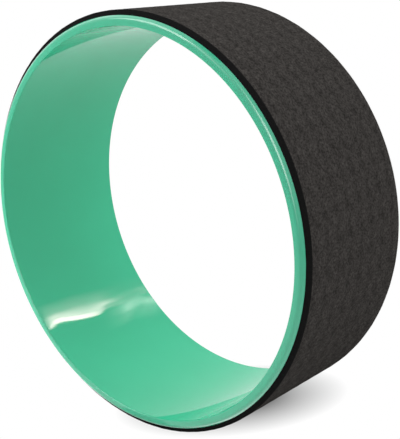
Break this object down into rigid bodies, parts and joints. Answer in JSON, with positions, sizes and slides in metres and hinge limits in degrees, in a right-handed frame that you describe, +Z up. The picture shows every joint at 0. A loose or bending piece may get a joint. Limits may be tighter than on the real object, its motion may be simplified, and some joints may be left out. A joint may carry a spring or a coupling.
{
  "type": "yoga wheel",
  "caption": "Open plastic ring with a glossy inner wall and a cushioned anti-slip foam tread bonded round it, for back bends and stretching.",
  "frame": {"origin": "centre of the wheel", "axes": "+Y along the wheel's axis, +Z up as it stands on its tread, +X across the wheel"},
  "size_m": [0.33, 0.124, 0.33],
  "materials": {
    "core_plastic": "glossy moulded ABS, sea green",
    "tread_foam": "matt black foamed TPE with an embossed anti-slip tread",
    "adhesive": "dried dark contact adhesive"
  },
  "bodies": {
    "root": {"core_ring": "core_plastic", "tread_pad": "tread_foam", "pad_adhesive": "adhesive", "seam_adhesive": "adhesive"}
  },
  "joints": []
}
